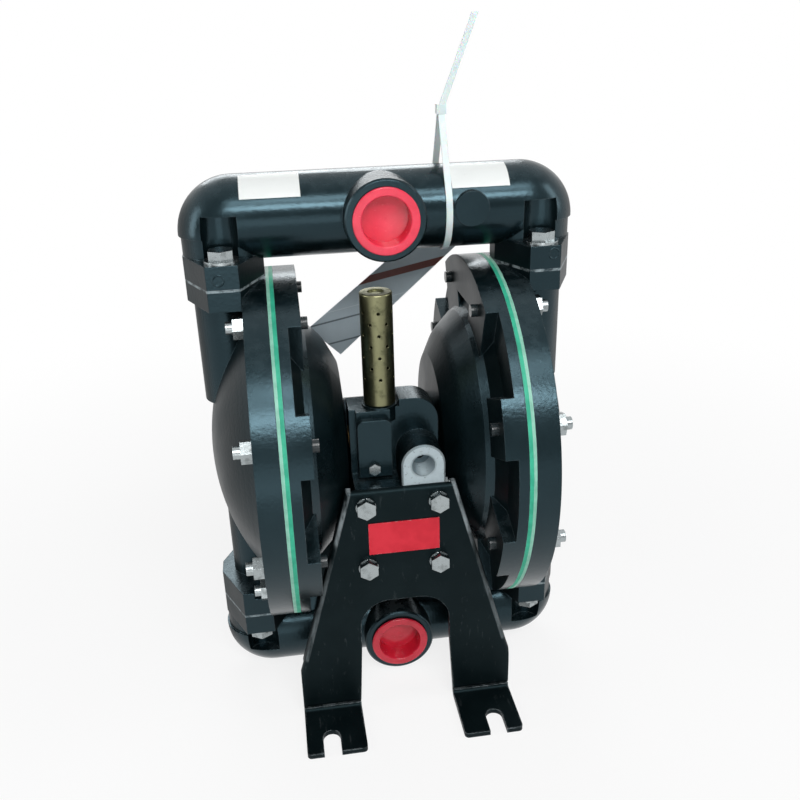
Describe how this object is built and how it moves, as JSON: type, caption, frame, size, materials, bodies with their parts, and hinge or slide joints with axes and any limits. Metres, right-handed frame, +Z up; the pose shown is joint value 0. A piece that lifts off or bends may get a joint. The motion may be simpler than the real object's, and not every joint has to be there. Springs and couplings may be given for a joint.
{
  "type": "air-operated double diaphragm pump",
  "caption": "Black metal air-operated double diaphragm pump on bent feet, green and white diaphragm edges, red port plugs, brass muffler",
  "frame": {"origin": "on the floor, midway between the feet, under the middle of the diaphragm rod", "axes": "+X runs along the diaphragm rod to the right of the port side, -Y is the side that the ports and the air inlet face, +Z is up"},
  "size_m": [0.345, 0.326, 0.619],
  "materials": {
    "casting_black": "semi-gloss black enamel on cast aluminium",
    "bracket_black": "satin black paint on bent plate, worn at the folds",
    "fastener_zinc": "zinc-plated steel, satin",
    "rod_steel": "hard-chromed and ground",
    "washer_steel": "turned stainless steel",
    "bearing_bronze": "turned bearing bronze",
    "muffler_brass": "dull olive brass",
    "plug_red": "glossy red moulded plastic",
    "backup_green": "matte green rubber",
    "overlay_white": "white fluoroplastic",
    "ball_white": "white fluoroplastic, smooth",
    "seal_black": "black rubber",
    "plate_red": "red enamelled aluminium plate, left bare",
    "label_white": "glossy printed film, left bare",
    "tie_white": "natural nylon",
    "tag_grey": "grey-blue laminated strip with a red-brown band"
  },
  "bodies": {
    "housing": {"outlet_manifold": "casting_black", "inlet_manifold": "casting_black", "right_fluid_cap": "casting_black", "left_fluid_cap": "casting_black", "right_air_cap": "casting_black", "left_air_cap": "casting_black", "center_body": "casting_black", "exhaust_cover": "casting_black", "exhaust_cover_screw": "fastener_zinc", "muffler": "muffler_brass", "front_bracket": "bracket_black", "rear_bracket": "bracket_black", "bracket_bolts": "fastener_zinc", "bracket_lock_washers": "fastener_zinc", "right_cap_bolts": "fastener_zinc", "left_cap_bolts": "fastener_zinc", "right_cap_nuts": "fastener_zinc", "left_cap_nuts": "fastener_zinc", "manifold_bolts": "fastener_zinc", "air_cap_screws": "fastener_zinc", "right_outlet_seat": "washer_steel", "left_outlet_seat": "washer_steel", "right_inlet_seat": "washer_steel", "left_inlet_seat": "washer_steel", "seat_rings": "overlay_white", "right_backup_diaphragm": "backup_green", "left_backup_diaphragm": "backup_green", "right_overlay_diaphragm": "overlay_white", "left_overlay_diaphragm": "overlay_white", "rod_bushings": "bearing_bronze", "rod_seals": "seal_black", "valve_sleeve": "washer_steel", "valve_end_caps": "bearing_bronze", "nameplate": "plate_red", "left_label": "label_white", "right_label": "label_white", "ground_screw": "fastener_zinc", "cable_tie": "tie_white", "hang_tag": "tag_grey"},
    "shaft": {"diaphragm_rod": "rod_steel", "rod_screws": "fastener_zinc", "right_air_washer": "washer_steel", "left_air_washer": "washer_steel", "right_fluid_washer": "washer_steel", "left_fluid_washer": "washer_steel"},
    "pilot": {"pilot_pin": "rod_steel"},
    "spool": {"valve_spool": "rod_steel"},
    "outlet_cap": {"outlet_plug": "plug_red"},
    "inlet_cap": {"inlet_plug": "plug_red"},
    "right_outlet_ball_body": {"right_outlet_ball": "ball_white"},
    "right_inlet_ball_body": {"right_inlet_ball": "ball_white"},
    "left_outlet_ball_body": {"left_outlet_ball": "ball_white"},
    "left_inlet_ball_body": {"left_inlet_ball": "ball_white"}
  },
  "joints": [
    {"name": "shaft_slide", "type": "slide", "parent": "housing", "child": "shaft", "axis": [1, 0, 0], "range_m": [-0.015, 0.015], "deforming": ["right_backup_diaphragm", "left_backup_diaphragm", "right_overlay_diaphragm", "left_overlay_diaphragm"]},
    {"name": "pilot_pin_slide", "type": "slide", "parent": "housing", "child": "pilot", "axis": [1, 0, 0], "range_m": [-0.004, 0.004]},
    {"name": "spool_slide", "type": "slide", "parent": "housing", "child": "spool", "axis": [1, 0, 0], "range_m": [-0.006, 0.006]},
    {"name": "right_outlet_ball_lift", "type": "slide", "parent": "housing", "child": "right_outlet_ball_body", "axis": [0, 0, 1], "range_m": [0, 0.01]},
    {"name": "right_inlet_ball_lift", "type": "slide", "parent": "housing", "child": "right_inlet_ball_body", "axis": [0, 0, 1], "range_m": [0, 0.01]},
    {"name": "left_outlet_ball_lift", "type": "slide", "parent": "housing", "child": "left_outlet_ball_body", "axis": [0, 0, 1], "range_m": [0, 0.01]},
    {"name": "left_inlet_ball_lift", "type": "slide", "parent": "housing", "child": "left_inlet_ball_body", "axis": [0, 0, 1], "range_m": [0, 0.01]},
    {"name": "outlet_plug_pull", "type": "slide", "parent": "housing", "child": "outlet_cap", "axis": [0, -1, 0], "range_m": [0, 0.022]},
    {"name": "inlet_plug_pull", "type": "slide", "parent": "housing", "child": "inlet_cap", "axis": [0, -1, 0], "range_m": [0, 0.022]}
  ]
}
